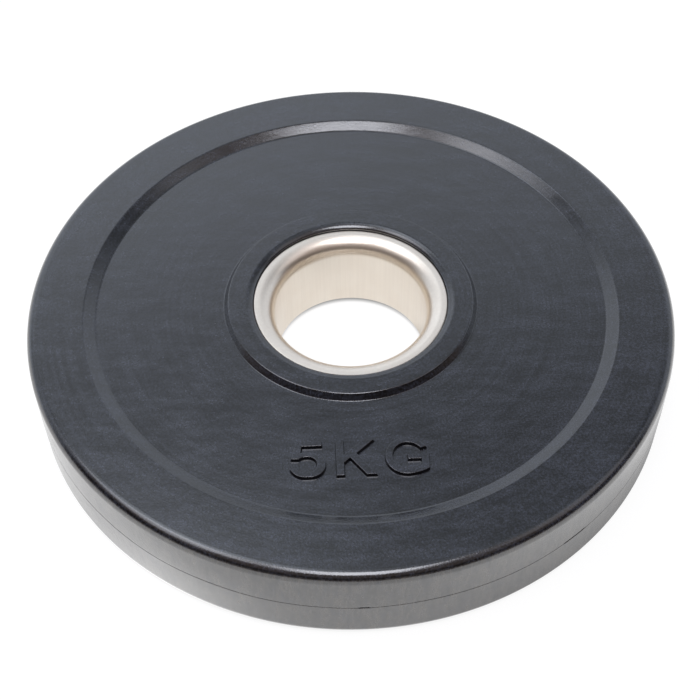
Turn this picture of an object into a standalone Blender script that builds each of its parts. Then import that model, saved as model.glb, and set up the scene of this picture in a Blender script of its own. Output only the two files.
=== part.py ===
"""Rubber coated weight plate with a flanged steel hub, lying on its rear face.

The plate is turned about +Z. Its origin is on the bore's axis, at the height of the face that it
lies on. A cast iron disc carries the weight. A steel sleeve stands in its bore, with a flanged ring
seated on its front end and a flat ring round its rear end. Two moulded rubber shells close over
the disc and meet on the rim.
"""

import math

import bmesh
import bpy

MM = 0.001

# Plate
PLATE_RADIUS = 106.1
PLATE_THICKNESS = 31.5
EDGE_ROUND = 3.2
SIDE_DRAFT = 0.1
PART_LINE_CHAMFER = 0.3

# Raised rim and the slope down to the web
RIM_INNER_RADIUS = 87.8
RIM_SLOPE_RUN = 3.4
RIM_ROUND = 1.5
WEB_DEPTH = 2.05
WEB_FILLET = 4.0

# Raised boss round the hub
BOSS_TOP_RADIUS = 40.3
BOSS_SLOPE_RUN = 1.5
BOSS_ROUND = 0.5
BOSS_FILLET = 0.4
LIP_RADIUS = 32.4
LIP_SLOPE_RUN = 1.0
LIP_DROP = 1.04
LIP_ROUND = 3.3

# Steel hub
BORE_RADIUS = 25.25
HUB_WALL = 3.0
FLANGE_RADIUS = 32.1
FLANGE_RECESS = 1.6
FLANGE_THICKNESS = 1.8
FLANGE_EDGE_ROUND = 0.35
SHOULDER_ROUND = 5.0
COLLAR_DEPTH = 4.25
MOUTH_FLARE = 0.26
MOUTH_LEAN = math.tan(math.radians(17))
REAR_MOUTH_ROUND = 1.4

# Cast iron disc under the rubber
FACE_RUBBER = 3.4
WEB_RUBBER = 3.3
RIM_RUBBER = 4.9
CORE_BOSS_RADIUS = 38.6
CORE_RIM_RADIUS = 89.6
CORE_STEP_RUN = 2.6
CORE_CORNER_ROUND = 2.5

# Clearance between pieces that touch on the real plate
SEAT_GAP = 0.3

HALF = PLATE_THICKNESS / 2
TURN_STEPS = 64
LARGE_ARC_STEPS = 5
LIP_ARC_STEPS = 4
SMALL_ARC_STEPS = 2
CHAMFER_STEPS = 1
POINT_MERGE = 1e-6
SMOOTH_ANGLE = math.radians(35)

RUBBER_COLOUR = (0.055, 0.057, 0.064, 1.0)
IRON_COLOUR = (0.12, 0.115, 0.11, 1.0)
STEEL_COLOUR = (0.70, 0.68, 0.65, 1.0)


def clear_scene():
    for item in list(bpy.data.objects):
        bpy.data.objects.remove(item, do_unlink=True)


def finish(name, colour, roughness, metallic):
    material = bpy.data.materials.new(name)
    material.use_nodes = True
    shader = material.node_tree.nodes["Principled BSDF"]
    shader.inputs["Base Color"].default_value = colour
    shader.inputs["Roughness"].default_value = roughness
    shader.inputs["Metallic"].default_value = metallic
    return material


def unit(start, end):
    """Direction from one outline point to another."""
    across = end[0] - start[0]
    up = end[1] - start[1]
    length = math.hypot(across, up)
    return across / length, up / length


def rounded(corners):
    """Outline points of a closed polygon whose corners may carry a radius and a number of steps."""
    points = []
    for index, corner in enumerate(corners):
        if len(corner) == 2:
            points.append(corner)
            continue
        radius, steps = corner[2:]
        back = unit(corner, corners[index - 1])
        ahead = unit(corner, corners[(index + 1) % len(corners)])
        half_angle = math.acos(back[0] * ahead[0] + back[1] * ahead[1]) / 2
        middle = unit((0.0, 0.0), (back[0] + ahead[0], back[1] + ahead[1]))
        reach = radius / math.sin(half_angle)
        centre = (corner[0] + middle[0] * reach, corner[1] + middle[1] * reach)
        tangent = radius / math.tan(half_angle)
        first = (corner[0] + back[0] * tangent, corner[1] + back[1] * tangent)
        last = (corner[0] + ahead[0] * tangent, corner[1] + ahead[1] * tangent)
        start = math.atan2(first[1] - centre[1], first[0] - centre[0])
        end = math.atan2(last[1] - centre[1], last[0] - centre[0])
        sweep = (end - start + math.pi) % (2 * math.pi) - math.pi
        for step in range(steps + 1):
            angle = start + sweep * step / steps
            points.append((centre[0] + radius * math.cos(angle), centre[1] + radius * math.sin(angle)))
    return points


def grown(path, gap):
    """Open path of corners moved to its left by the gap, each with its own round kept."""
    moved = []
    for index, corner in enumerate(path):
        legs = []
        if index > 0:
            legs.append(unit(path[index - 1], corner))
        if index < len(path) - 1:
            legs.append(unit(corner, path[index + 1]))
        normals = [(-leg[1], leg[0]) for leg in legs]
        middle = unit((0.0, 0.0), (sum(n[0] for n in normals), sum(n[1] for n in normals)))
        reach = gap / (middle[0] * normals[0][0] + middle[1] * normals[0][1])
        moved.append((corner[0] + middle[0] * reach, corner[1] + middle[1] * reach) + tuple(corner[2:]))
    return moved


def turned(name, corners, material):
    """Piece turned about Z from a closed outline of radius and height in millimetres."""
    shape = bmesh.new()
    ring = [shape.verts.new((radius * MM, 0.0, height * MM)) for radius, height in rounded(corners)]
    edges = [shape.edges.new((ring[i - 1], ring[i])) for i in range(len(ring))]
    bmesh.ops.spin(
        shape,
        geom=ring + edges,
        cent=(0.0, 0.0, 0.0),
        axis=(0.0, 0.0, 1.0),
        angle=2 * math.pi,
        steps=TURN_STEPS,
        use_merge=True,
    )
    bmesh.ops.remove_doubles(shape, verts=shape.verts, dist=POINT_MERGE)
    bmesh.ops.recalc_face_normals(shape, faces=shape.faces)
    mesh = bpy.data.meshes.new(name)
    shape.to_mesh(mesh)
    shape.free()
    mesh.materials.append(material)
    mesh.shade_smooth()
    mesh.set_sharp_from_angle(angle=SMOOTH_ANGLE)
    piece = bpy.data.objects.new(name, mesh)
    bpy.context.scene.collection.objects.link(piece)
    piece.location.z = HALF * MM
    return piece


def turned_over(front, name):
    """The same piece for the rear face: a half turn about X, not a mirror image."""
    rear = bpy.data.objects.new(name, front.data)
    bpy.context.scene.collection.objects.link(rear)
    rear.location = front.location
    rear.rotation_euler.x = math.pi
    return rear


def core_face():
    """The iron's front face from its hub to its outer wall."""
    top = HALF - FACE_RUBBER - SEAT_GAP
    web = HALF - WEB_DEPTH - WEB_RUBBER - SEAT_GAP
    outer = PLATE_RADIUS - RIM_RUBBER - SEAT_GAP
    return [
        (CORE_BOSS_RADIUS, top),
        (CORE_BOSS_RADIUS + CORE_STEP_RUN, web),
        (CORE_RIM_RADIUS - CORE_STEP_RUN, web),
        (CORE_RIM_RADIUS, top),
        (outer, top, CORE_CORNER_ROUND, SMALL_ARC_STEPS),
    ]


def cast_iron_core(material):
    """Disc with a raised hub and a raised rim on each face and a plain bore for the sleeve."""
    bore = BORE_RADIUS + HUB_WALL + SEAT_GAP
    top = HALF - FACE_RUBBER - SEAT_GAP
    front = [(bore, top)] + core_face()
    rear = [(corner[0], -corner[1]) + tuple(corner[2:]) for corner in reversed(front)]
    return turned("cast_iron_core", front + rear, material)


def rubber_shell(name, material):
    """Moulded rubber over one face and half of the rim, with the cavity that the iron fills."""
    part_line = SEAT_GAP / 2
    web = HALF - WEB_DEPTH
    face = [
        (LIP_RADIUS, HALF - FACE_RUBBER),
        (LIP_RADIUS, HALF - LIP_DROP),
        (LIP_RADIUS + LIP_SLOPE_RUN, HALF, LIP_ROUND, LIP_ARC_STEPS),
        (BOSS_TOP_RADIUS, HALF, BOSS_ROUND, SMALL_ARC_STEPS),
        (BOSS_TOP_RADIUS + BOSS_SLOPE_RUN, web, BOSS_FILLET, SMALL_ARC_STEPS),
        (RIM_INNER_RADIUS - RIM_SLOPE_RUN, web, WEB_FILLET, SMALL_ARC_STEPS),
        (RIM_INNER_RADIUS, HALF, RIM_ROUND, SMALL_ARC_STEPS),
        (PLATE_RADIUS - SIDE_DRAFT, HALF, EDGE_ROUND, LARGE_ARC_STEPS),
        (PLATE_RADIUS, part_line + PART_LINE_CHAMFER),
        (PLATE_RADIUS - PART_LINE_CHAMFER, part_line),
    ]
    iron = core_face()
    iron.insert(0, (LIP_RADIUS, iron[0][1]))
    iron.append((iron[-1][0], part_line))
    cavity = grown(iron, SEAT_GAP)[1:]
    return turned(name, face + cavity[::-1], material)


def front_hub_ring(material):
    """Flange with a rounded shoulder that leads into the bore, and the collar in the iron's bore."""
    top = HALF - FLANGE_RECESS
    seat = top - FLANGE_THICKNESS
    collar_end = top - COLLAR_DEPTH
    collar = BORE_RADIUS + HUB_WALL
    mouth = BORE_RADIUS + MOUTH_FLARE
    outline = [
        (mouth, collar_end),
        (mouth + COLLAR_DEPTH * MOUTH_LEAN, top, SHOULDER_ROUND, LARGE_ARC_STEPS),
        (FLANGE_RADIUS, top, FLANGE_EDGE_ROUND, CHAMFER_STEPS),
        (FLANGE_RADIUS, seat),
        (collar, seat),
        (collar, collar_end),
    ]
    return turned("front_hub_ring", outline, material)


def hub_sleeve(material):
    """Tube from the front ring's collar, where its bore is flared, through to the rear face."""
    end = HALF - FLANGE_RECESS - COLLAR_DEPTH - SEAT_GAP
    rear = HALF - FLANGE_RECESS
    outer = BORE_RADIUS + HUB_WALL
    mouth = BORE_RADIUS + MOUTH_FLARE
    straight = end - MOUTH_FLARE / MOUTH_LEAN
    outline = [
        (BORE_RADIUS, -rear, REAR_MOUTH_ROUND, LARGE_ARC_STEPS),
        (BORE_RADIUS, straight),
        (mouth, end),
        (outer, end),
        (outer, -rear),
    ]
    return turned("hub_sleeve", outline, material)


def rear_hub_ring(material):
    """Flat ring round the sleeve's rear end that holds the rubber's edge down."""
    inner = BORE_RADIUS + HUB_WALL + SEAT_GAP
    rear = HALF - FLANGE_RECESS
    seat = rear - FLANGE_THICKNESS
    outline = [
        (inner, -rear),
        (inner, -seat),
        (FLANGE_RADIUS, -seat),
        (FLANGE_RADIUS, -rear, FLANGE_EDGE_ROUND, CHAMFER_STEPS),
    ]
    return turned("rear_hub_ring", outline, material)


def build():
    clear_scene()
    rubber = finish("moulded_rubber", RUBBER_COLOUR, 0.45, 0.0)
    iron = finish("cast_iron", IRON_COLOUR, 0.6, 1.0)
    steel = finish("satin_stainless_steel", STEEL_COLOUR, 0.25, 1.0)
    cast_iron_core(iron)
    front_shell = rubber_shell("front_rubber_shell", rubber)
    turned_over(front_shell, "rear_rubber_shell")
    hub_sleeve(steel)
    front_hub_ring(steel)
    rear_hub_ring(steel)


build()
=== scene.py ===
"""Looks of a rubber coated weight plate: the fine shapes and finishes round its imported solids.

Everything is in metres, in the solids' own frame. +Z runs up the bore, and the near edge, where the
raised weight mark reads upright, is at -Y. Sizes below are in millimetres.
"""

import math

import bmesh
import bpy
from mathutils import Matrix, Vector


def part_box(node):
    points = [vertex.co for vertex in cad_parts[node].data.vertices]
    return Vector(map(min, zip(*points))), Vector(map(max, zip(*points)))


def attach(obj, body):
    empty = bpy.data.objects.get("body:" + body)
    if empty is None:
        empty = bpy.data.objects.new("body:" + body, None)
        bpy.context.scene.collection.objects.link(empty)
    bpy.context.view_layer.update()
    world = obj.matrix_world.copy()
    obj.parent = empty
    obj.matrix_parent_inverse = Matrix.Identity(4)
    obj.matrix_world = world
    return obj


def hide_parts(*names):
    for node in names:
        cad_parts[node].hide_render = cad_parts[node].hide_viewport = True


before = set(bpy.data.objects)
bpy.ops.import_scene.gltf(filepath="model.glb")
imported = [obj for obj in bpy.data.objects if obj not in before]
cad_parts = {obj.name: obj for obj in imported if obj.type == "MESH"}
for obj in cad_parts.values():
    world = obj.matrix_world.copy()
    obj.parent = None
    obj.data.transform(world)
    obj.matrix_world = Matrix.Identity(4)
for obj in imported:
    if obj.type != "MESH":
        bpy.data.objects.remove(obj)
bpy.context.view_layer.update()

MM = 0.001

# Plate, read from the solids
SHELL_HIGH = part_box("front_rubber_shell")[1]
RING_LOW, RING_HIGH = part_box("front_hub_ring")
PLATE_RADIUS = SHELL_HIGH.x / MM
PLATE_TOP = SHELL_HIGH.z / MM
MIDDLE = PLATE_TOP / 2
FLANGE_RADIUS = RING_HIGH.x / MM
FLANGE_TOP = RING_HIGH.z / MM - MIDDLE

# Rubber face, from the hub outwards
LIP_RADIUS = FLANGE_RADIUS + 0.06
LIP_SLOPE_RUN = 1.0
LIP_DROP = 1.04
LIP_ROUND = 3.3
BOSS_TOP_RADIUS = 40.3
BOSS_SLOPE_RUN = 1.5
BOSS_ROUND = 0.5
BOSS_FILLET = 0.4
WEB_DEPTH = 2.05
WEB_FILLET = 1.5
RIM_INNER_RADIUS = 87.65
RIM_SLOPE_RUN = 3.75
RIM_ROUND = 1.2
EDGE_ROUND = 3.2
SIDE_DRAFT = 0.1
FACE_RUBBER = 3.4
RIM_RUBBER = 4.9

# Seam where the two rubber halves meet. Its slits have a start and an end in degrees
SEAM_GAP = 0.12
SEAM_ROUND = 0.15
SEAM_WAVE = 0.7
SEAM_WAVE_LENGTH = 28.0
SLIT_OPENING = 0.25
SLITS = ((-91.5, -89.4), (-55.5, -51.2))

# Steel hub
BORE_RADIUS = 25.25
HUB_WALL = 3.0
FLANGE_THICKNESS = 1.8
FLANGE_EDGE_ROUND = 0.35
SHOULDER_ROUND = 5.0
COLLAR_END = RING_LOW.z / MM - MIDDLE
COLLAR_DEPTH = FLANGE_TOP - COLLAR_END
MOUTH_FLARE = 0.26
MOUTH_LEAN = math.tan(math.radians(17))
FLARE_ROUND = 4.0
JOINT_GAP = 0.08
JOINT_ROUND = 0.15
REAR_MOUTH_ROUND = 1.4
REAR_RING_GAP = 0.08

# Raised weight mark on the web. Its outlines have lengths across and along, and some a radius
MARK_RADIUS = 63.5
MARK_RISE = 1.2
MARK_SUNK = 0.4
MARK_DRAFT = math.tan(math.radians(14))
MARK_EDGE_ROUND = 0.14
MARK_EDGE_LENGTH = 0.85
MARK_SHORTEST_EDGE = 0.3
MARK_SHAPES = {
    "five": [
        (-11.1, -57.1),
        (-19.4, -57.1),
        (-20.95, -63.75),
        (-18.35, -63.9),
        (-17.3, -63.15, 3.0),
        (-13.1, -63.15, 2.5),
        (-13.1, -68.2, 2.5),
        (-18.6, -68.2, 1.4),
        (-18.6, -66.7),
        (-21.35, -66.8),
        (-20.4, -70.45, 4.7),
        (-10.1, -70.45, 4.7),
        (-10.1, -60.85, 4.7),
        (-17.5, -61.1),
        (-17.2, -59.3),
        (-11.1, -59.3),
    ],
    "k": [
        (-7.35, -57.25),
        (-7.35, -70.2),
        (-4.55, -70.2),
        (-4.55, -65.6),
        (-2.95, -64.1),
        (1.75, -70.2),
        (5.3, -70.2),
        (-0.55, -62.2),
        (4.9, -57.25),
        (0.8, -57.25),
        (-4.55, -62.0),
        (-4.55, -57.25),
    ],
    "g": [
        (20.46, -60.86),
        (18.61, -56.9, 6.8),
        (7.4, -56.9, 6.8),
        (7.4, -70.55, 6.8),
        (18.0, -70.55, 11.0),
        (21.05, -68.4),
        (21.05, -63.1),
        (14.2, -63.1),
        (14.2, -65.25),
        (18.2, -65.25),
        (18.2, -66.0),
        (16.86, -68.0, 4.3),
        (10.05, -68.0, 4.3),
        (10.05, -59.2, 4.3),
        (17.04, -59.2, 4.3),
        (18.3, -61.47),
    ],
}

# Bloom round the mark, by its reach across, along and up
MARK_HALO = (27, 11, 8)

# The whole mark lies nearer than this to its radius
MARK_ZONE = 15

# Steps along the rounds, and round the whole turn
WIDE_STEPS = 12
ROUND_STEPS = 8
FINE_STEPS = 4
TURN_STEPS = 384
SMOOTH_ANGLE = 30
MERGE = 1e-6

# A point this far beside each round keeps the shading of the flat next to it flat
HOLD = 0.25

# Camera, found from the circles of the plate in the photograph
SENSOR = 36.0
FOCAL_LENGTH = 68.41
CAMERA_PLACE = (-0.36, -292.2, 327.1)
CAMERA_ELEVATION = 50.53
CAMERA_ROLL = -0.688
PLATE_TURN = 2.0

# Light of the studio, as linear colours: cold cloth lamps and wall, and a warm room by the camera
LAMP_COLOUR = (0.96, 0.98, 1.06)
WALL_COLOUR = (0.935, 1.0, 1.11)
CAMERA_SIDE_COLOUR = (1.0, 0.8, 0.72)

# Table and lamps, in metres
TABLE_SIZE = 8.0
TABLE_DROP = 0.0002
LAMP_HEIGHT = 1.03

# Ring of table that the plate's side mirrors, from its edge outwards
BESIDE_WIDTH = 14

# Radii between which the painted glow of the table that the bore mirrors grows brighter
UNDER_BORE = (25, 60)

# Table that the plate covers, where the table's light is dimmed as a painted shadow. Its dimming starts
# between two radii just past the bore, and ends between two distances inside the plate's edge
COVER_START = (25.6, 27.5)
COVER_END = (3.5, 1.0)


def linear(hex_colour):
    """Linear colour of an sRGB hex value."""
    values = [int(hex_colour[i : i + 2], 16) / 255 for i in (1, 3, 5)]
    return [v / 12.92 if v <= 0.04045 else ((v + 0.055) / 1.055) ** 2.4 for v in values] + [1.0]


def add_node(tree, kind, inputs=None, **settings):
    """Adds a node with its settings. Each input is given a value, or linked to an output."""
    node = tree.nodes.new(kind)
    for name, value in settings.items():
        setattr(node, name, value)
    for socket, value in (inputs or {}).items():
        if isinstance(value, bpy.types.NodeSocket):
            tree.links.new(value, node.inputs[socket])
        else:
            node.inputs[socket].default_value = value
    return node


def deselect():
    bpy.ops.object.select_all(action="DESELECT")


def pick(piece, test):
    """Selects the vertices in edit mode that the test is true of, and nothing else."""
    bpy.ops.mesh.select_mode(type="VERT")
    bpy.ops.mesh.select_all(action="DESELECT")
    shape = bmesh.from_edit_mesh(piece.data)
    for vertex in shape.verts:
        if test(vertex.co / MM):
            vertex.select_set(True)
    shape.select_flush_mode()
    bmesh.update_edit_mesh(piece.data)


def close_to(place):
    """True of a point at that place, in millimetres."""
    return lambda point: (point - place).length < MERGE / MM


def corner_angle(corners, index):
    """Angle between the two straight sides that meet at a corner."""
    before, corner, after = corners[index - 1], corners[index], corners[(index + 1) % len(corners)]
    back = Vector((before[0] - corner[0], before[1] - corner[1]))
    ahead = Vector((after[0] - corner[0], after[1] - corner[1]))
    return back.angle(ahead)


def outline(name, corners, places):
    """Closed wire through the places of the corners, left in edit mode.

    A corner is two lengths in the plane of the outline, and may have a radius and its steps too.
    """
    deselect()
    bpy.ops.mesh.primitive_plane_add(size=MM, location=places[0] * MM)
    piece = bpy.context.object
    piece.name = name
    piece.data.name = name
    bpy.ops.object.transform_apply(location=True, rotation=True, scale=True)
    bpy.ops.object.mode_set(mode="EDIT")
    bpy.ops.mesh.merge(type="CENTER")
    for before, place in zip(places, places[1:]):
        bpy.ops.mesh.extrude_vertices_move(TRANSFORM_OT_translate={"value": (place - before) * MM})
    first, last = close_to(places[0]), close_to(places[-1])
    pick(piece, lambda point: first(point) or last(point))
    bpy.ops.mesh.edge_face_add()
    for index, corner in enumerate(corners):
        if len(corner) > 2:
            width = corner[2] / math.tan(corner_angle(corners, index) / 2)
            pick(piece, close_to(places[index]))
            bpy.ops.mesh.bevel(offset=width * MM, segments=corner[3], profile=0.5, affect="VERTICES")
    bpy.ops.mesh.select_all(action="SELECT")
    return piece


def held(corners):
    """Corners with a point put in beside each round, on both of the sides that meet in it."""
    points = []
    for index, corner in enumerate(corners):
        here = Vector(corner[:2])
        before = Vector(corners[index - 1][:2]) - here
        after = Vector(corners[(index + 1) % len(corners)][:2]) - here
        reach = HOLD
        if len(corner) > 2:
            reach += corner[2] / math.tan(corner_angle(corners, index) / 2)
        if before.length > 4 * reach:
            points.append(tuple(here + before.normalized() * reach))
        points.append(corner)
        if after.length > 4 * reach:
            points.append(tuple(here + after.normalized() * reach))
    return points


def turned(name, corners):
    """Piece turned about the bore from an outline of radius, height above the middle, and round."""
    corners = held(corners)
    piece = outline(name, corners, [Vector((c[0], 0.0, c[1] + MIDDLE)) for c in corners])
    bpy.ops.mesh.spin(steps=TURN_STEPS, angle=2 * math.pi, center=(0, 0, 0), axis=(0, 0, 1))
    bpy.ops.mesh.select_all(action="SELECT")
    bpy.ops.mesh.remove_doubles(threshold=MERGE)
    bpy.ops.mesh.normals_make_consistent(inside=False)
    bpy.ops.object.mode_set(mode="OBJECT")
    bpy.ops.object.shade_smooth_by_angle(angle=math.radians(SMOOTH_ANGLE))
    return piece


def turned_over(piece, name):
    """Copy of a piece for the rear face, turned over about the middle of the plate."""
    deselect()
    piece.select_set(True)
    bpy.context.view_layer.objects.active = piece
    bpy.ops.object.duplicate()
    rear = bpy.context.object
    rear.name = name
    rear.data.name = name
    bpy.ops.transform.rotate(value=math.pi, orient_axis="X", center_override=(0, 0, MIDDLE * MM))
    bpy.ops.object.transform_apply(location=True, rotation=True, scale=True)
    return rear


def rubber_face():
    """Rubber over one face and half of the rim, hollow where the iron fills it."""
    half = PLATE_TOP / 2
    web = half - WEB_DEPTH
    inside = half - FACE_RUBBER
    outer = PLATE_RADIUS - RIM_RUBBER
    return [
        (LIP_RADIUS, inside),
        (LIP_RADIUS, half - LIP_DROP),
        (LIP_RADIUS + LIP_SLOPE_RUN, half, LIP_ROUND, WIDE_STEPS),
        (BOSS_TOP_RADIUS, half, BOSS_ROUND, ROUND_STEPS),
        (BOSS_TOP_RADIUS + BOSS_SLOPE_RUN, web, BOSS_FILLET, FINE_STEPS),
        (RIM_INNER_RADIUS - RIM_SLOPE_RUN, web, WEB_FILLET, ROUND_STEPS),
        (RIM_INNER_RADIUS, half, RIM_ROUND, ROUND_STEPS),
        (PLATE_RADIUS - SIDE_DRAFT, half, EDGE_ROUND, WIDE_STEPS),
        (PLATE_RADIUS, SEAM_GAP / 2, SEAM_ROUND, FINE_STEPS),
        (outer, SEAM_GAP / 2),
        (outer, inside),
    ]


def shape_seam(piece, opening):
    """Lets the seam's edge wander as hand-trimmed rubber does, and opens its two small slits."""
    bpy.context.view_layer.objects.active = piece
    edge = SEAM_GAP / 2 + SEAM_ROUND + MERGE / MM
    on_seam = piece.vertex_groups.new(name="seam")
    near = [v.index for v in piece.data.vertices if abs(v.co.z / MM - MIDDLE) < edge]
    on_seam.add(near, 1.0, "REPLACE")
    wave = bpy.data.textures.new("seam_wave", "CLOUDS")
    wave.noise_scale = SEAM_WAVE_LENGTH * MM
    wave.noise_depth = 1
    bend = piece.modifiers.new("seam_wave", "DISPLACE")
    bend.texture = wave
    bend.texture_coords = "LOCAL"
    bend.direction = "Z"
    bend.mid_level = 0.5
    bend.strength = SEAM_WAVE * MM
    bend.vertex_group = "seam"
    bpy.ops.object.modifier_apply(modifier=bend.name)
    piece.vertex_groups.clear()
    bpy.ops.object.mode_set(mode="EDIT")
    reach = edge + SEAM_WAVE / 2
    for start, end in SLITS:
        def in_slit(point):
            angle = math.degrees(math.atan2(point.y, point.x))
            at_edge = abs(point.z - MIDDLE) < reach
            return start < angle < end and at_edge
        pick(piece, in_slit)
        bpy.ops.transform.translate(value=(0, 0, opening * MM))
    bpy.ops.object.mode_set(mode="OBJECT")


def front_ring_outline():
    """Flange with a rounded shoulder, and the collar seated in the iron's bore."""
    collar = BORE_RADIUS + HUB_WALL
    seat = FLANGE_TOP - FLANGE_THICKNESS
    mouth = BORE_RADIUS + MOUTH_FLARE
    return [
        (mouth, COLLAR_END),
        (mouth + COLLAR_DEPTH * MOUTH_LEAN, FLANGE_TOP, SHOULDER_ROUND, WIDE_STEPS),
        (FLANGE_RADIUS, FLANGE_TOP, FLANGE_EDGE_ROUND, FINE_STEPS),
        (FLANGE_RADIUS, seat),
        (collar, seat),
        (collar, COLLAR_END),
    ]


def sleeve_outline():
    """Tube from the front ring's collar, where its bore is flared, through to the rear face."""
    end = COLLAR_END - JOINT_GAP
    outer = BORE_RADIUS + HUB_WALL
    mouth = BORE_RADIUS + MOUTH_FLARE
    straight = end - MOUTH_FLARE / MOUTH_LEAN
    return [
        (BORE_RADIUS, -FLANGE_TOP, REAR_MOUTH_ROUND, ROUND_STEPS),
        (BORE_RADIUS, straight, FLARE_ROUND, ROUND_STEPS),
        (mouth, end, JOINT_ROUND, FINE_STEPS),
        (outer, end),
        (outer, -FLANGE_TOP, JOINT_ROUND, FINE_STEPS),
    ]


def rear_ring_outline():
    """Flat ring round the sleeve's rear end, with a hairline between them."""
    inner = BORE_RADIUS + HUB_WALL + REAR_RING_GAP
    seat = FLANGE_TOP - FLANGE_THICKNESS
    return [
        (inner, -FLANGE_TOP, JOINT_ROUND, FINE_STEPS),
        (inner, -seat),
        (FLANGE_RADIUS, -seat),
        (FLANGE_RADIUS, -FLANGE_TOP, FLANGE_EDGE_ROUND, FINE_STEPS),
    ]


def weight_mark():
    """Plain raised number and unit in wide bold characters, moulded with the web."""
    web = PLATE_TOP - WEB_DEPTH
    characters = []
    for name, shape in MARK_SHAPES.items():
        corners = []
        for index, corner in enumerate(shape):
            if len(corner) > 2:
                arc = corner[2] * (math.pi - corner_angle(shape, index))
                corner += (math.ceil(arc / MARK_EDGE_LENGTH),)
            corners.append(corner)
        character = outline(name, corners, [Vector((c[0], c[1], web - MARK_SUNK)) for c in corners])
        bpy.ops.mesh.remove_doubles(threshold=MARK_SHORTEST_EDGE * MM)
        bpy.ops.mesh.edge_face_add()
        bpy.ops.mesh.extrude_region_move(TRANSFORM_OT_translate={"value": (0, 0, MARK_SUNK * MM)})
        bpy.ops.mesh.select_all(action="SELECT")
        bpy.ops.mesh.normals_make_consistent(inside=False)
        pick(character, lambda point: point.z > web - MARK_SUNK / 2)
        bpy.ops.mesh.inset(thickness=MARK_RISE * MARK_DRAFT * MM, depth=MARK_RISE * MM)
        pick(character, lambda point: point.z > web + MARK_RISE / 2)
        bpy.ops.mesh.bevel(offset=MARK_EDGE_ROUND * MM, segments=FINE_STEPS, profile=0.5)
        bpy.ops.mesh.select_all(action="SELECT")
        bpy.ops.mesh.normals_make_consistent(inside=False)
        bpy.ops.object.mode_set(mode="OBJECT")
        characters.append(character)
    deselect()
    for character in characters:
        character.select_set(True)
    bpy.ops.object.join()
    mark = bpy.context.object
    mark.name = "front_weight_mark"
    mark.data.name = "front_weight_mark"
    bpy.ops.object.shade_flat()
    return mark


def new_material(name, roughness, metallic, ior=None):
    """Material with its constants set on the shader. Gives its node tree and shader too."""
    material = bpy.data.materials.new(name)
    material.use_nodes = True
    shader = material.node_tree.nodes["Principled BSDF"]
    shader.inputs["Roughness"].default_value = roughness
    shader.inputs["Metallic"].default_value = metallic
    if ior:
        shader.inputs["IOR"].default_value = ior
    return material, material.node_tree, shader


def per_mm(size):
    """Scale of a pattern whose features are that many millimetres across."""
    return 1 / (size * MM)


def polar_place(tree, place):
    """Radius from the bore, and the direction from it, so that a pattern follows the turning."""
    flat = add_node(tree, "ShaderNodeVectorMath", {0: place, 1: (1, 1, 0)}, operation="MULTIPLY")
    radius = add_node(tree, "ShaderNodeVectorMath", {0: flat.outputs[0]}, operation="LENGTH")
    towards = add_node(tree, "ShaderNodeVectorMath", {0: flat.outputs[0]}, operation="NORMALIZE")
    return radius.outputs["Value"], towards.outputs[0]


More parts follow.
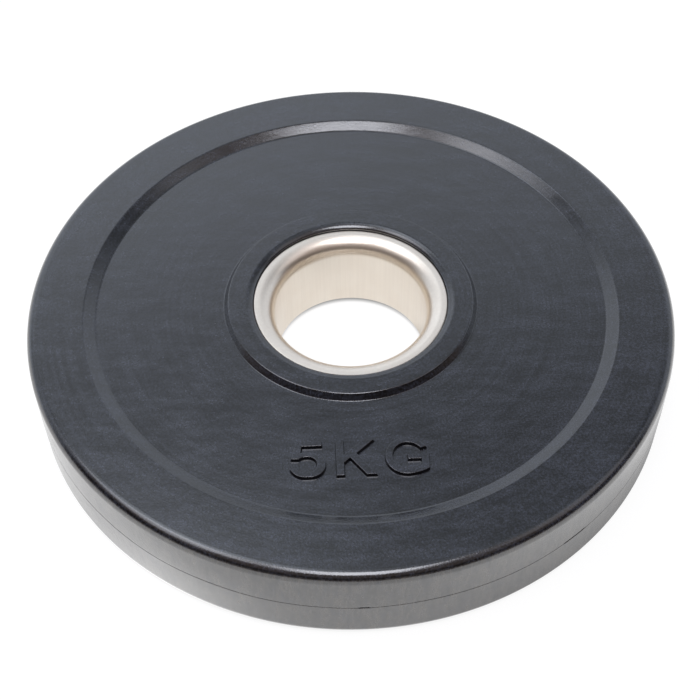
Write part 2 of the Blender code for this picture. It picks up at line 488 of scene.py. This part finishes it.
def moulded_rubber():
    """Black natural rubber pressed in a polished mould: near black, glossy for rubber, a little hazy.

    It mirrors its surroundings softly. A wiped bluish bloom in patches, turning marks that the mould
    left, a fine grain, specks of dust and the dusty smears of handling on the side break it up.
    """
    material, tree, shader = new_material("moulded_rubber", 0.25, 0.0, ior=1.85)
    place = add_node(tree, "ShaderNodeTexCoord").outputs["Object"]
    radius, towards = polar_place(tree, place)

    # Wiped bloom, in patches about 5 mm wide and longer across
    wide = add_node(tree, "ShaderNodeMapping", {"Vector": place, "Scale": (0.35, 1.0, 1.0)})
    bloom = add_node(
        tree,
        "ShaderNodeTexNoise",
        {"Vector": wide.outputs[0], "Scale": per_mm(5), "Detail": 6.0, "Roughness": 0.72},
    ).outputs["Fac"]

    # Turning marks of the mould, 1.2 mm apart and some 50 degrees long
    turning = add_node(
        tree, "ShaderNodeVectorMath", {0: towards, 1: (1.2, 1.2, 0.0)}, operation="MULTIPLY"
    )
    rings = add_node(tree, "ShaderNodeMath", {0: radius, 1: per_mm(1.2)}, operation="MULTIPLY")
    spiral = add_node(tree, "ShaderNodeCombineXYZ", {"Z": rings.outputs[0]})
    ring_place = add_node(
        tree, "ShaderNodeVectorMath", {0: turning.outputs[0], 1: spiral.outputs[0]}, operation="ADD"
    )
    marks = add_node(
        tree, "ShaderNodeTexNoise", {"Vector": ring_place.outputs[0], "Scale": 1.0, "Detail": 3.0}
    ).outputs["Fac"]

    # Grain of the mould's skin, really about 0.1 mm, drawn at 0.6 mm so that it shows
    upright = add_node(tree, "ShaderNodeMapping", {"Vector": place, "Scale": (1.0, 1.0, 0.12)})
    grain = add_node(
        tree,
        "ShaderNodeTexNoise",
        {"Vector": upright.outputs[0], "Scale": per_mm(0.6), "Detail": 3.0, "Roughness": 0.6},
    ).outputs["Fac"]

    # Specks of dust up to 0.4 mm wide, some paler than others
    dust = add_node(tree, "ShaderNodeTexVoronoi", {"Vector": place, "Scale": per_mm(3.4)})
    speck = add_node(
        tree,
        "ShaderNodeMapRange",
        {
            "Value": dust.outputs["Distance"],
            "From Min": 0.02,
            "From Max": 0.06,
            "To Min": 0.2,
            "To Max": 0.0,
        },
    )
    chance = add_node(tree, "ShaderNodeSeparateXYZ", {0: dust.outputs["Color"]}).outputs["X"]
    paler = add_node(tree, "ShaderNodeMath", {0: chance, 1: 3.0}, operation="POWER")
    specks = add_node(
        tree, "ShaderNodeMath", {0: speck.outputs[0], 1: paler.outputs[0]}, operation="MULTIPLY"
    )

    # Bloom that wiping left round the weight mark
    round_mark = add_node(
        tree,
        "ShaderNodeVectorMath",
        {
            0: place,
            1: tuple(per_mm(reach) for reach in MARK_HALO),
            2: (0.0, MARK_RADIUS / MARK_HALO[1], -PLATE_TOP / MARK_HALO[2]),
        },
        operation="MULTIPLY_ADD",
    )
    from_mark = add_node(
        tree, "ShaderNodeVectorMath", {0: round_mark.outputs[0]}, operation="LENGTH"
    )
    at_mark = add_node(
        tree,
        "ShaderNodeMapRange",
        {
            "Value": from_mark.outputs["Value"],
            "From Min": 0.7,
            "From Max": 1.25,
            "To Min": 0.16,
            "To Max": 0.0,
        },
        interpolation_type="SMOOTHSTEP",
    )

    # The film of bloom: patches, halo, turning marks and grain added up
    patches = add_node(
        tree,
        "ShaderNodeMapRange",
        {"Value": bloom, "From Min": 0.4, "From Max": 0.75, "To Min": 0.0, "To Max": 0.6},
    )
    with_mark = add_node(
        tree, "ShaderNodeMath", {0: patches.outputs[0], 1: at_mark.outputs[0]}, operation="ADD"
    )
    with_rings = add_node(
        tree, "ShaderNodeMath", {0: marks, 1: 0.8, 2: with_mark.outputs[0]}, operation="MULTIPLY_ADD"
    )
    film = add_node(
        tree, "ShaderNodeMath", {0: grain, 1: 3.2, 2: with_rings.outputs[0]}, operation="MULTIPLY_ADD"
    )
    share = add_node(
        tree,
        "ShaderNodeMapRange",
        {"Value": film.outputs[0], "From Min": 1.9, "From Max": 3.65, "To Min": 0.0, "To Max": 1.0},
    )

    # Painted shade: the upright sides of the weight mark get no bloom, so that they stay bare black
    # like shaded walls
    height = add_node(tree, "ShaderNodeSeparateXYZ", {0: place}).outputs["Z"]
    from_middle = add_node(tree, "ShaderNodeMath", {0: height, 1: -MIDDLE * MM}, operation="ADD")
    off_middle = add_node(tree, "ShaderNodeMath", {0: from_middle.outputs[0]}, operation="ABSOLUTE")
    half_rise = MARK_RISE / 2
    mark_sides = add_node(
        tree,
        "ShaderNodeMath",
        {
            0: off_middle.outputs[0],
            1: (MIDDLE - WEB_DEPTH + half_rise) * MM,
            2: (half_rise - MARK_EDGE_ROUND / 2) * MM,
        },
        operation="COMPARE",
    )
    on_web = add_node(
        tree, "ShaderNodeMath", {0: radius, 1: MARK_RADIUS * MM, 2: MARK_ZONE * MM}, operation="COMPARE"
    )
    painted_shade_sides = add_node(
        tree, "ShaderNodeMath", {0: mark_sides.outputs[0], 1: on_web.outputs[0]}, operation="MULTIPLY"
    )
    outside_painted_shade = add_node(tree, "ShaderNodeMath", {0: 1.0, 1: painted_shade_sides.outputs[0]}, operation="SUBTRACT")
    bloomed = add_node(
        tree, "ShaderNodeMath", {0: share.outputs[0], 1: outside_painted_shade.outputs[0]}, operation="MULTIPLY"
    )
    colour = add_node(
        tree,
        "ShaderNodeMix",
        {"Factor": bloomed.outputs[0], "A": linear("#040508"), "B": linear("#404553")},
        data_type="RGBA",
    )

    # Smears of dust on the side, about 2 mm wide and taller than wide
    tall = add_node(tree, "ShaderNodeMapping", {"Vector": place, "Scale": (1.0, 1.0, 0.3)})
    smears = add_node(
        tree,
        "ShaderNodeTexNoise",
        {"Vector": tall.outputs[0], "Scale": per_mm(2.2), "Detail": 6.0, "Roughness": 0.8},
    ).outputs["Fac"]
    on_side = add_node(
        tree,
        "ShaderNodeMapRange",
        {"Value": radius, "From Min": (PLATE_RADIUS - 1.0) * MM, "From Max": (PLATE_RADIUS - 0.3) * MM},
    )
    smeared = add_node(
        tree,
        "ShaderNodeMapRange",
        {"Value": smears, "From Min": 0.4, "From Max": 0.72, "To Min": 0.05, "To Max": 1.0},
    )
    handled = add_node(
        tree, "ShaderNodeMath", {0: on_side.outputs[0], 1: smeared.outputs[0]}, operation="MULTIPLY"
    )
    side_colour = add_node(
        tree,
        "ShaderNodeMix",
        {"Factor": handled.outputs[0], "A": colour.outputs["Result"], "B": linear("#5c5750")},
        data_type="RGBA",
    )
    dusted = add_node(
        tree,
        "ShaderNodeMix",
        {"Factor": specks.outputs[0], "A": side_colour.outputs["Result"], "B": linear("#b4b3b0")},
        data_type="RGBA",
    )
    tree.links.new(dusted.outputs["Result"], shader.inputs["Base Color"])

    # Bloom and turning marks dull the gloss, and all three patterns stand a little proud
    cloudy = add_node(
        tree,
        "ShaderNodeMapRange",
        {"Value": bloom, "From Min": 0.3, "From Max": 0.7, "To Min": 0.12, "To Max": 0.2},
    )
    rough = add_node(
        tree, "ShaderNodeMath", {0: marks, 1: 0.06, 2: cloudy.outputs[0]}, operation="MULTIPLY_ADD"
    )
    tree.links.new(rough.outputs[0], shader.inputs["Roughness"])

    soft = add_node(
        tree, "ShaderNodeBump", {"Height": bloom, "Strength": 1.0, "Distance": 0.02 * MM}
    )
    turned_skin = add_node(
        tree,
        "ShaderNodeBump",
        {"Height": marks, "Strength": 1.0, "Distance": 0.006 * MM, "Normal": soft.outputs[0]},
    )
    skin = add_node(
        tree,
        "ShaderNodeBump",
        {"Height": grain, "Strength": 1.0, "Distance": 0.02 * MM, "Normal": turned_skin.outputs[0]},
    )
    tree.links.new(skin.outputs[0], shader.inputs["Normal"])
    return material


def turned_steel():
    """Stainless steel, faced on a lathe and lightly polished: warm satin metal with turned rings.

    The rings show on the flange and the tool's chatter as faint upright streaks in the bore.
    """
    material, tree, shader = new_material("turned_stainless_steel", 0.28, 1.0)
    place = add_node(tree, "ShaderNodeTexCoord").outputs["Object"]
    radius, towards = polar_place(tree, place)

    # Rings really 0.1 mm apart, drawn at 0.45 mm so that they show
    rings = add_node(tree, "ShaderNodeMath", {0: radius, 1: per_mm(0.45)}, operation="MULTIPLY")
    across = add_node(
        tree, "ShaderNodeVectorMath", {0: towards, 1: (0.5, 0.5, 0.0)}, operation="MULTIPLY"
    )
    ring_place = add_node(tree, "ShaderNodeCombineXYZ", {"Z": rings.outputs[0]})
    turning = add_node(
        tree, "ShaderNodeVectorMath", {0: across.outputs[0], 1: ring_place.outputs[0]}, operation="ADD"
    )
    lathe = add_node(
        tree, "ShaderNodeTexNoise", {"Vector": turning.outputs[0], "Scale": 1.0, "Detail": 3.0}
    ).outputs["Fac"]

    # Upright streaks in the bore, about 1 mm apart
    streak_place = add_node(
        tree, "ShaderNodeMapping", {"Vector": place, "Scale": (1.0, 1.0, 0.03)}
    )
    streaks = add_node(
        tree,
        "ShaderNodeTexNoise",
        {"Vector": streak_place.outputs[0], "Scale": per_mm(1.0), "Detail": 3.0},
    ).outputs["Fac"]

    # Faint stains, about 9 mm wide
    stains = add_node(
        tree, "ShaderNodeTexNoise", {"Vector": place, "Scale": per_mm(9), "Detail": 4.0}
    ).outputs["Fac"]

    colour = add_node(
        tree,
        "ShaderNodeMix",
        {"Factor": stains, "A": linear("#f0e5d7"), "B": linear("#f8f0e4")},
        data_type="RGBA",
    )
    streaky = add_node(
        tree,
        "ShaderNodeMapRange",
        {"Value": streaks, "From Min": 0.3, "From Max": 0.7, "To Min": 0.0, "To Max": 0.12},
    )
    darker = add_node(
        tree,
        "ShaderNodeMix",
        {"Factor": streaky.outputs[0], "A": colour.outputs["Result"], "B": linear("#c3b7aa")},
        data_type="RGBA",
    )
    tree.links.new(darker.outputs["Result"], shader.inputs["Base Color"])
    rough = add_node(
        tree,
        "ShaderNodeMapRange",
        {"Value": lathe, "From Min": 0.3, "From Max": 0.7, "To Min": 0.31, "To Max": 0.4},
    )
    tree.links.new(rough.outputs[0], shader.inputs["Roughness"])
    faced = add_node(
        tree, "ShaderNodeBump", {"Height": lathe, "Strength": 1.0, "Distance": 0.006 * MM}
    )
    bored = add_node(
        tree,
        "ShaderNodeBump",
        {"Height": streaks, "Strength": 1.0, "Distance": 0.004 * MM, "Normal": faced.outputs[0]},
    )
    tree.links.new(bored.outputs[0], shader.inputs["Normal"])
    return material


def cast_iron():
    """Grey cast iron as it leaves the sand: dull dark grey, with a coarse sandy skin."""
    material, tree, shader = new_material("sand_cast_iron", 0.6, 1.0)
    place = add_node(tree, "ShaderNodeTexCoord").outputs["Object"]
    sand = add_node(
        tree, "ShaderNodeTexNoise", {"Vector": place, "Scale": per_mm(0.8), "Detail": 5.0}
    ).outputs["Fac"]
    scale = add_node(
        tree, "ShaderNodeTexNoise", {"Vector": place, "Scale": per_mm(12), "Detail": 3.0}
    ).outputs["Fac"]
    colour = add_node(
        tree,
        "ShaderNodeMix",
        {"Factor": scale, "A": linear("#4c4a48"), "B": linear("#67625d")},
        data_type="RGBA",
    )
    rough = add_node(
        tree,
        "ShaderNodeMapRange",
        {"Value": sand, "To Min": 0.5, "To Max": 0.75},
    )
    skin = add_node(
        tree, "ShaderNodeBump", {"Height": sand, "Strength": 1.0, "Distance": 0.15 * MM}
    )
    tree.links.new(colour.outputs["Result"], shader.inputs["Base Color"])
    tree.links.new(rough.outputs[0], shader.inputs["Roughness"])
    tree.links.new(skin.outputs[0], shader.inputs["Normal"])
    return material


def set_camera():
    camera = bpy.data.objects.new("camera", bpy.data.cameras.new("camera"))
    bpy.context.scene.collection.objects.link(camera)
    bpy.context.scene.camera = camera
    camera.data.sensor_width = SENSOR
    camera.data.lens = FOCAL_LENGTH
    camera.data.clip_start = 0.01
    camera.data.clip_end = 100.0
    x, y, z = CAMERA_PLACE
    place = Matrix.Translation(Vector((x, y, z + PLATE_TOP)) * MM)
    turn = Matrix.Rotation(math.radians(-PLATE_TURN), 4, "Z")
    tilt = Matrix.Rotation(math.radians(90 - CAMERA_ELEVATION), 4, "X")
    roll = Matrix.Rotation(math.radians(CAMERA_ROLL), 4, "Z")
    camera.matrix_world = turn @ place @ tilt @ roll


def backdrop_rays(tree):
    """1 for the rays that show the backdrop: those of the camera, of gloss and of glass."""
    path = add_node(tree, "ShaderNodeLightPath")
    seen = add_node(
        tree,
        "ShaderNodeMath",
        {0: path.outputs["Is Camera Ray"], 1: path.outputs["Is Glossy Ray"]},
        operation="MAXIMUM",
    )
    either = add_node(
        tree,
        "ShaderNodeMath",
        {0: seen.outputs[0], 1: path.outputs["Is Transmission Ray"]},
        operation="MAXIMUM",
    )
    return either.outputs[0]


def glow(tree, towards, aim, power):
    """1 in the direction of the aim, falling away to both sides, faster for a higher power."""
    facing = add_node(tree, "ShaderNodeVectorMath", {0: towards, 1: aim}, operation="DOT_PRODUCT")
    ahead = add_node(tree, "ShaderNodeClamp", {"Value": facing.outputs["Value"]})
    peak = add_node(tree, "ShaderNodeMath", {0: ahead.outputs[0], 1: power}, operation="POWER")
    return peak.outputs[0]


def painted_table_in_gloss(tree, radius, towards):
    """Level at which the table shows in the plate's gloss, from place to place round the plate.

    Beside the plate it is a painted pool of light at the front left and painted shade at the right.
    Further out it is painted brighter at both sides. Under the bore it is a little below white.
    """
    near = add_node(
        tree,
        "ShaderNodeMapRange",
        {
            "Value": radius,
            "From Min": PLATE_RADIUS * MM,
            "From Max": (PLATE_RADIUS + BESIDE_WIDTH) * MM,
            "To Min": 1.0,
            "To Max": 0.0,
        },
    )
    away = add_node(tree, "ShaderNodeMath", {0: 1.0, 1: near.outputs[0]}, operation="SUBTRACT")
    rightward = add_node(
        tree, "ShaderNodeVectorMath", {0: towards, 1: (0.8, -0.2, 0.0)}, operation="DOT_PRODUCT"
    ).outputs["Value"]
    shade = add_node(
        tree, "ShaderNodeMapRange", {"Value": rightward, "From Min": 0.3, "From Max": 0.8}
    )

    # Beside the plate: a painted pool of light at the front left and painted shade at the right
    front_left = add_node(
        tree,
        "ShaderNodeMath",
        {0: glow(tree, towards, (-0.56, -0.83, 0.0), 30.0), 1: 1.4},
        operation="MULTIPLY",
    )
    change = add_node(
        tree,
        "ShaderNodeMath",
        {0: shade.outputs[0], 1: -1.25, 2: front_left.outputs[0]},
        operation="MULTIPLY_ADD",
    )
    beside = add_node(
        tree,
        "ShaderNodeMath",
        {0: near.outputs[0], 1: change.outputs[0], 2: 1.36},
        operation="MULTIPLY_ADD",
    )

    # Further out: painted light at both sides
    far_right = add_node(
        tree,
        "ShaderNodeMapRange",
        {"Value": rightward, "From Min": 0.77, "From Max": 0.81, "To Min": 0.0, "To Max": 0.3},
    )
    both_sides = add_node(
        tree,
        "ShaderNodeMath",
        {0: glow(tree, towards, (-0.79, -0.61, 0.0), 20.0), 1: 0.33, 2: far_right.outputs[0]},
        operation="MULTIPLY_ADD",
    )
    further = add_node(
        tree,
        "ShaderNodeMath",
        {0: away.outputs[0], 1: both_sides.outputs[0], 2: beside.outputs[0]},
        operation="MULTIPLY_ADD",
    )
    around = add_node(
        tree,
        "ShaderNodeMath",
        {0: shade.outputs[0], 1: 0.35, 2: further.outputs[0]},
        operation="MULTIPLY_ADD",
    )

    # Under the bore
    start, end = UNDER_BORE
    past_bore = add_node(
        tree,
        "ShaderNodeMapRange",
        {"Value": radius, "From Min": start * MM, "From Max": end * MM, "To Min": 0.95, "To Max": 4.0},
    )
    level = add_node(
        tree, "ShaderNodeMath", {0: around.outputs[0], 1: past_bore.outputs[0]}, operation="MINIMUM"
    )
    return level.outputs[0]


def table_outside_painted_shadow(tree, radius):
    """1 on the open table and much less where the plate covers it, from its bore to its edge: a painted
    shadow under the plate.
    """
    past_bore = add_node(
        tree,
        "ShaderNodeMapRange",
        {"Value": radius, "From Min": COVER_START[0] * MM, "From Max": COVER_START[1] * MM},
    )
    short_of_edge = add_node(
        tree,
        "ShaderNodeMapRange",
        {
            "Value": radius,
            "From Min": (PLATE_RADIUS - COVER_END[0]) * MM,
            "From Max": (PLATE_RADIUS - COVER_END[1]) * MM,
            "To Min": 1.0,
            "To Max": 0.0,
        },
    )
    painted_shadow = add_node(
        tree,
        "ShaderNodeMath",
        {0: past_bore.outputs[0], 1: short_of_edge.outputs[0]},
        operation="MULTIPLY",
    )
    share = add_node(
        tree, "ShaderNodeMath", {0: painted_shadow.outputs[0], 1: -0.7, 2: 1.0}, operation="MULTIPLY_ADD"
    )
    return share.outputs[0]


def set_floor():
    """White table: its own light brings it to white and leaves the plate's faint shadow on it."""
    deselect()
    bpy.ops.mesh.primitive_plane_add(size=TABLE_SIZE, location=(0, 0, -TABLE_DROP))
    floor = bpy.context.object
    floor.name = "floor"
    material, tree, shader = new_material("white_table", 0.9, 0.0)
    shader.inputs["Base Color"].default_value = linear("#f4f4f4")
    place = add_node(tree, "ShaderNodeTexCoord").outputs["Object"]
    radius, towards = polar_place(tree, place)
    mirrored = add_node(tree, "ShaderNodeLightPath").outputs["Is Glossy Ray"]
    # Glossy rays see the table's painted light and shade
    strength = add_node(
        tree,
        "ShaderNodeMix",
        {"Factor": mirrored, "A": 1.1, "B": painted_table_in_gloss(tree, radius, towards)},
        data_type="FLOAT",
    )
    # The table's light is dimmed under the plate by a painted shadow
    table_light = add_node(
        tree,
        "ShaderNodeMath",
        {0: strength.outputs["Result"], 1: table_outside_painted_shadow(tree, radius)},
        operation="MULTIPLY",
    )
    shown = add_node(
        tree, "ShaderNodeEmission", {"Color": (1, 1, 1, 1), "Strength": table_light.outputs[0]}
    )
    share = add_node(tree, "ShaderNodeMath", {0: backdrop_rays(tree), 1: 0.82}, operation="MULTIPLY")
    mixed = add_node(
        tree,
        "ShaderNodeMixShader",
        {0: share.outputs[0], 1: shader.outputs[0], 2: shown.outputs[0]},
    )
    tree.links.new(mixed.outputs[0], tree.nodes["Material Output"].inputs["Surface"])
    floor.data.materials.append(material)


def wall_beyond(tree, towards, across, up):
    """Level of the wall beyond the plate: bright half way up, darker at its foot and at its top."""
    slope = add_node(
        tree, "ShaderNodeVectorMath", {0: towards, 1: (-1.0, 0.0, -3.2)}, operation="DOT_PRODUCT"
    )
    leaning = add_node(tree, "ShaderNodeMath", {0: slope.outputs["Value"], 1: 3.1}, operation="ADD")
    valance = add_node(tree, "ShaderNodeMath", {0: up, 1: -6.0, 2: 5.1}, operation="MULTIPLY_ADD")
    upper = add_node(
        tree, "ShaderNodeMath", {0: leaning.outputs[0], 1: valance.outputs[0]}, operation="MINIMUM"
    )
    upper_level = add_node(
        tree, "ShaderNodeClamp", {"Value": upper.outputs[0], "Min": 0.2, "Max": 1.2}
    )

    # Foot of the wall, darkest straight beyond the plate
    sideways = add_node(tree, "ShaderNodeMath", {0: across}, operation="ABSOLUTE")
    horizon = add_node(
        tree,
        "ShaderNodeMapRange",
        {
            "Value": sideways.outputs[0],
            "From Min": 0.0,
            "From Max": 0.43,
            "To Min": 0.66,
            "To Max": 0.86,
        },
    )
    rising = add_node(
        tree,
        "ShaderNodeMapRange",
        {"Value": up, "From Min": 0.32, "From Max": 0.64, "To Min": 0.42, "To Max": 1.18},
    )
    foot = add_node(
        tree, "ShaderNodeMath", {0: horizon.outputs[0], 1: rising.outputs[0]}, operation="MAXIMUM"
    )
    lower_level = add_node(
        tree, "ShaderNodeMath", {0: across, 1: -0.12, 2: foot.outputs[0]}, operation="MULTIPLY_ADD"
    )
    level = add_node(
        tree,
        "ShaderNodeMath",
        {0: upper_level.outputs[0], 1: lower_level.outputs[0]},
        operation="MINIMUM",
    )
    return level.outputs[0]


def far_half(tree, towards, across, up):
    """Level of the wall and the ceiling over it, brighter to the left, with a darker upper corner."""
    leftward = add_node(
        tree, "ShaderNodeMapRange", {"Value": across, "From Min": 0.12, "From Max": -0.2}
    ).outputs[0]
    bent = add_node(tree, "ShaderNodeMath", {0: leftward, 1: 2.2}, operation="POWER")
    gain = add_node(
        tree, "ShaderNodeMath", {0: bent.outputs[0], 1: 3.0, 2: 0.3}, operation="MULTIPLY_ADD"
    )
    ceiling = add_node(
        tree,
        "ShaderNodeMapRange",
        {"Value": up, "From Min": 0.79, "From Max": 0.92},
        interpolation_type="SMOOTHSTEP",
    )
    with_ceiling = add_node(
        tree,
        "ShaderNodeMath",
        {0: ceiling.outputs[0], 1: gain.outputs[0], 2: wall_beyond(tree, towards, across, up)},
        operation="MULTIPLY_ADD",
    )
    left_half = add_node(
        tree,
        "ShaderNodeMath",
        {0: leftward, 1: 0.1, 2: with_ceiling.outputs[0]},
        operation="MULTIPLY_ADD",
    )
    to_corner = add_node(
        tree, "ShaderNodeVectorMath", {0: towards, 1: (-1.0, 0.0, 1.0)}, operation="DOT_PRODUCT"
    ).outputs["Value"]
    corner = add_node(
        tree,
        "ShaderNodeMapRange",
        {"Value": to_corner, "From Min": 1.0, "From Max": 1.15, "To Min": 1.0, "To Max": 0.6},
    )
    level = add_node(
        tree, "ShaderNodeMath", {0: left_half.outputs[0], 1: corner.outputs[0]}, operation="MULTIPLY"
    )
    return level.outputs[0]


def camera_side(tree, up):
    """Level of the room on the camera's side: dark, a little lighter at its foot and high up."""
    low = add_node(
        tree,
        "ShaderNodeMapRange",
        {"Value": up, "From Min": 0.0, "From Max": 0.26, "To Min": 0.3, "To Max": 0.05},
        interpolation_type="SMOOTHSTEP",
    )
    high = add_node(
        tree,
        "ShaderNodeMapRange",
        {"Value": up, "From Min": 0.42, "From Max": 0.65, "To Min": 0.0, "To Max": 0.25},
        interpolation_type="SMOOTHSTEP",
    )
    level = add_node(
        tree, "ShaderNodeMath", {0: low.outputs[0], 1: high.outputs[0]}, operation="ADD"
    )
    return level.outputs[0]


def set_room():
    """Pale studio wall beyond the plate and a dim room at the camera. The camera itself sees white."""
    world = bpy.data.worlds.new("room")
    bpy.context.scene.world = world
    world.use_nodes = True
    tree = world.node_tree
    tree.nodes.clear()
    towards = add_node(tree, "ShaderNodeTexCoord").outputs["Generated"]
    across, along, up = add_node(tree, "ShaderNodeSeparateXYZ", {0: towards}).outputs
    pale = add_node(
        tree,
        "ShaderNodeVectorMath",
        {0: WALL_COLOUR, "Scale": far_half(tree, towards, across, up)},
        operation="SCALE",
    )
    dim = add_node(
        tree,
        "ShaderNodeVectorMath",
        {0: CAMERA_SIDE_COLOUR, "Scale": camera_side(tree, up)},
        operation="SCALE",
    )
    beyond = add_node(
        tree,
        "ShaderNodeMapRange",
        {"Value": along, "From Min": -0.05, "From Max": 0.3},
        interpolation_type="SMOOTHSTEP",
    )
    room = add_node(
        tree,
        "ShaderNodeMix",
        {"Factor": beyond.outputs[0], "A": dim.outputs[0], "B": pale.outputs[0]},
        data_type="RGBA",
    )
    camera_ray = add_node(tree, "ShaderNodeLightPath").outputs["Is Camera Ray"]
    seen = add_node(
        tree,
        "ShaderNodeMix",
        {"Factor": camera_ray, "A": room.outputs["Result"], "B": (1, 1, 1, 1)},
        data_type="RGBA",
    )
    light = add_node(tree, "ShaderNodeBackground", {"Color": seen.outputs["Result"]})
    add_node(tree, "ShaderNodeOutputWorld", {"Surface": light.outputs[0]})


def softbox(name, across, along, size, turn, radiance):
    """Lamp above the plate, facing down: a rectangle of cloth, as bright as that all over."""
    lamp = bpy.data.lights.new(name, "AREA")
    lamp.shape = "RECTANGLE"
    lamp.size, lamp.size_y = size
    lamp.energy = radiance * math.pi * size[0] * size[1]
    lamp.color = LAMP_COLOUR
    holder = bpy.data.objects.new(name, lamp)
    holder.location = (across, along, LAMP_HEIGHT)
    holder.rotation_euler.z = math.radians(turn)
    bpy.context.scene.collection.objects.link(holder)


set_camera()
set_floor()
set_room()
softbox("main_softbox", 0.0, -0.29, size=(0.36, 0.54), turn=-8, radiance=6.8)
softbox("left_softbox", -0.42, -0.08, size=(0.27, 0.50), turn=-8, radiance=3.0)
softbox("far_left_softbox", -0.74, -0.06, size=(0.38, 0.80), turn=-8, radiance=1.7)
softbox("right_card", 0.86, -0.08, size=(0.88, 0.70), turn=0, radiance=0.5)

rubber = moulded_rubber()
steel = turned_steel()

front = turned("front_rubber", rubber_face())
front.data.materials.append(rubber)
rear = turned_over(front, "rear_rubber")
shape_seam(front, SLIT_OPENING)
shape_seam(rear, -SLIT_OPENING)
front_mark = weight_mark()
front_mark.data.materials.append(rubber)
rear_mark = turned_over(front_mark, "rear_weight_mark")
front_ring = turned("front_ring", front_ring_outline())
sleeve = turned("sleeve", sleeve_outline())
rear_ring = turned("rear_ring", rear_ring_outline())
for turned_piece in (front_ring, sleeve, rear_ring):
    turned_piece.data.materials.append(steel)

for piece, nodes, slot in (
    (front, ["front_rubber_shell"], "coat_rubber"),
    (rear, ["rear_rubber_shell"], "coat_rubber"),
    (front_mark, [], "coat_rubber"),
    (rear_mark, [], "coat_rubber"),
    (front_ring, ["front_hub_ring"], "hub_steel"),
    (rear_ring, ["rear_hub_ring"], "hub_steel"),
    (sleeve, ["hub_sleeve"], "hub_steel"),
):
    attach(piece, "root")
    if nodes:
        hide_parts(*nodes)

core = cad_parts["cast_iron_core"]
core.material_slots[0].link = "OBJECT"
core.material_slots[0].material = cast_iron()

bpy.context.scene.view_settings.view_transform = "Standard"
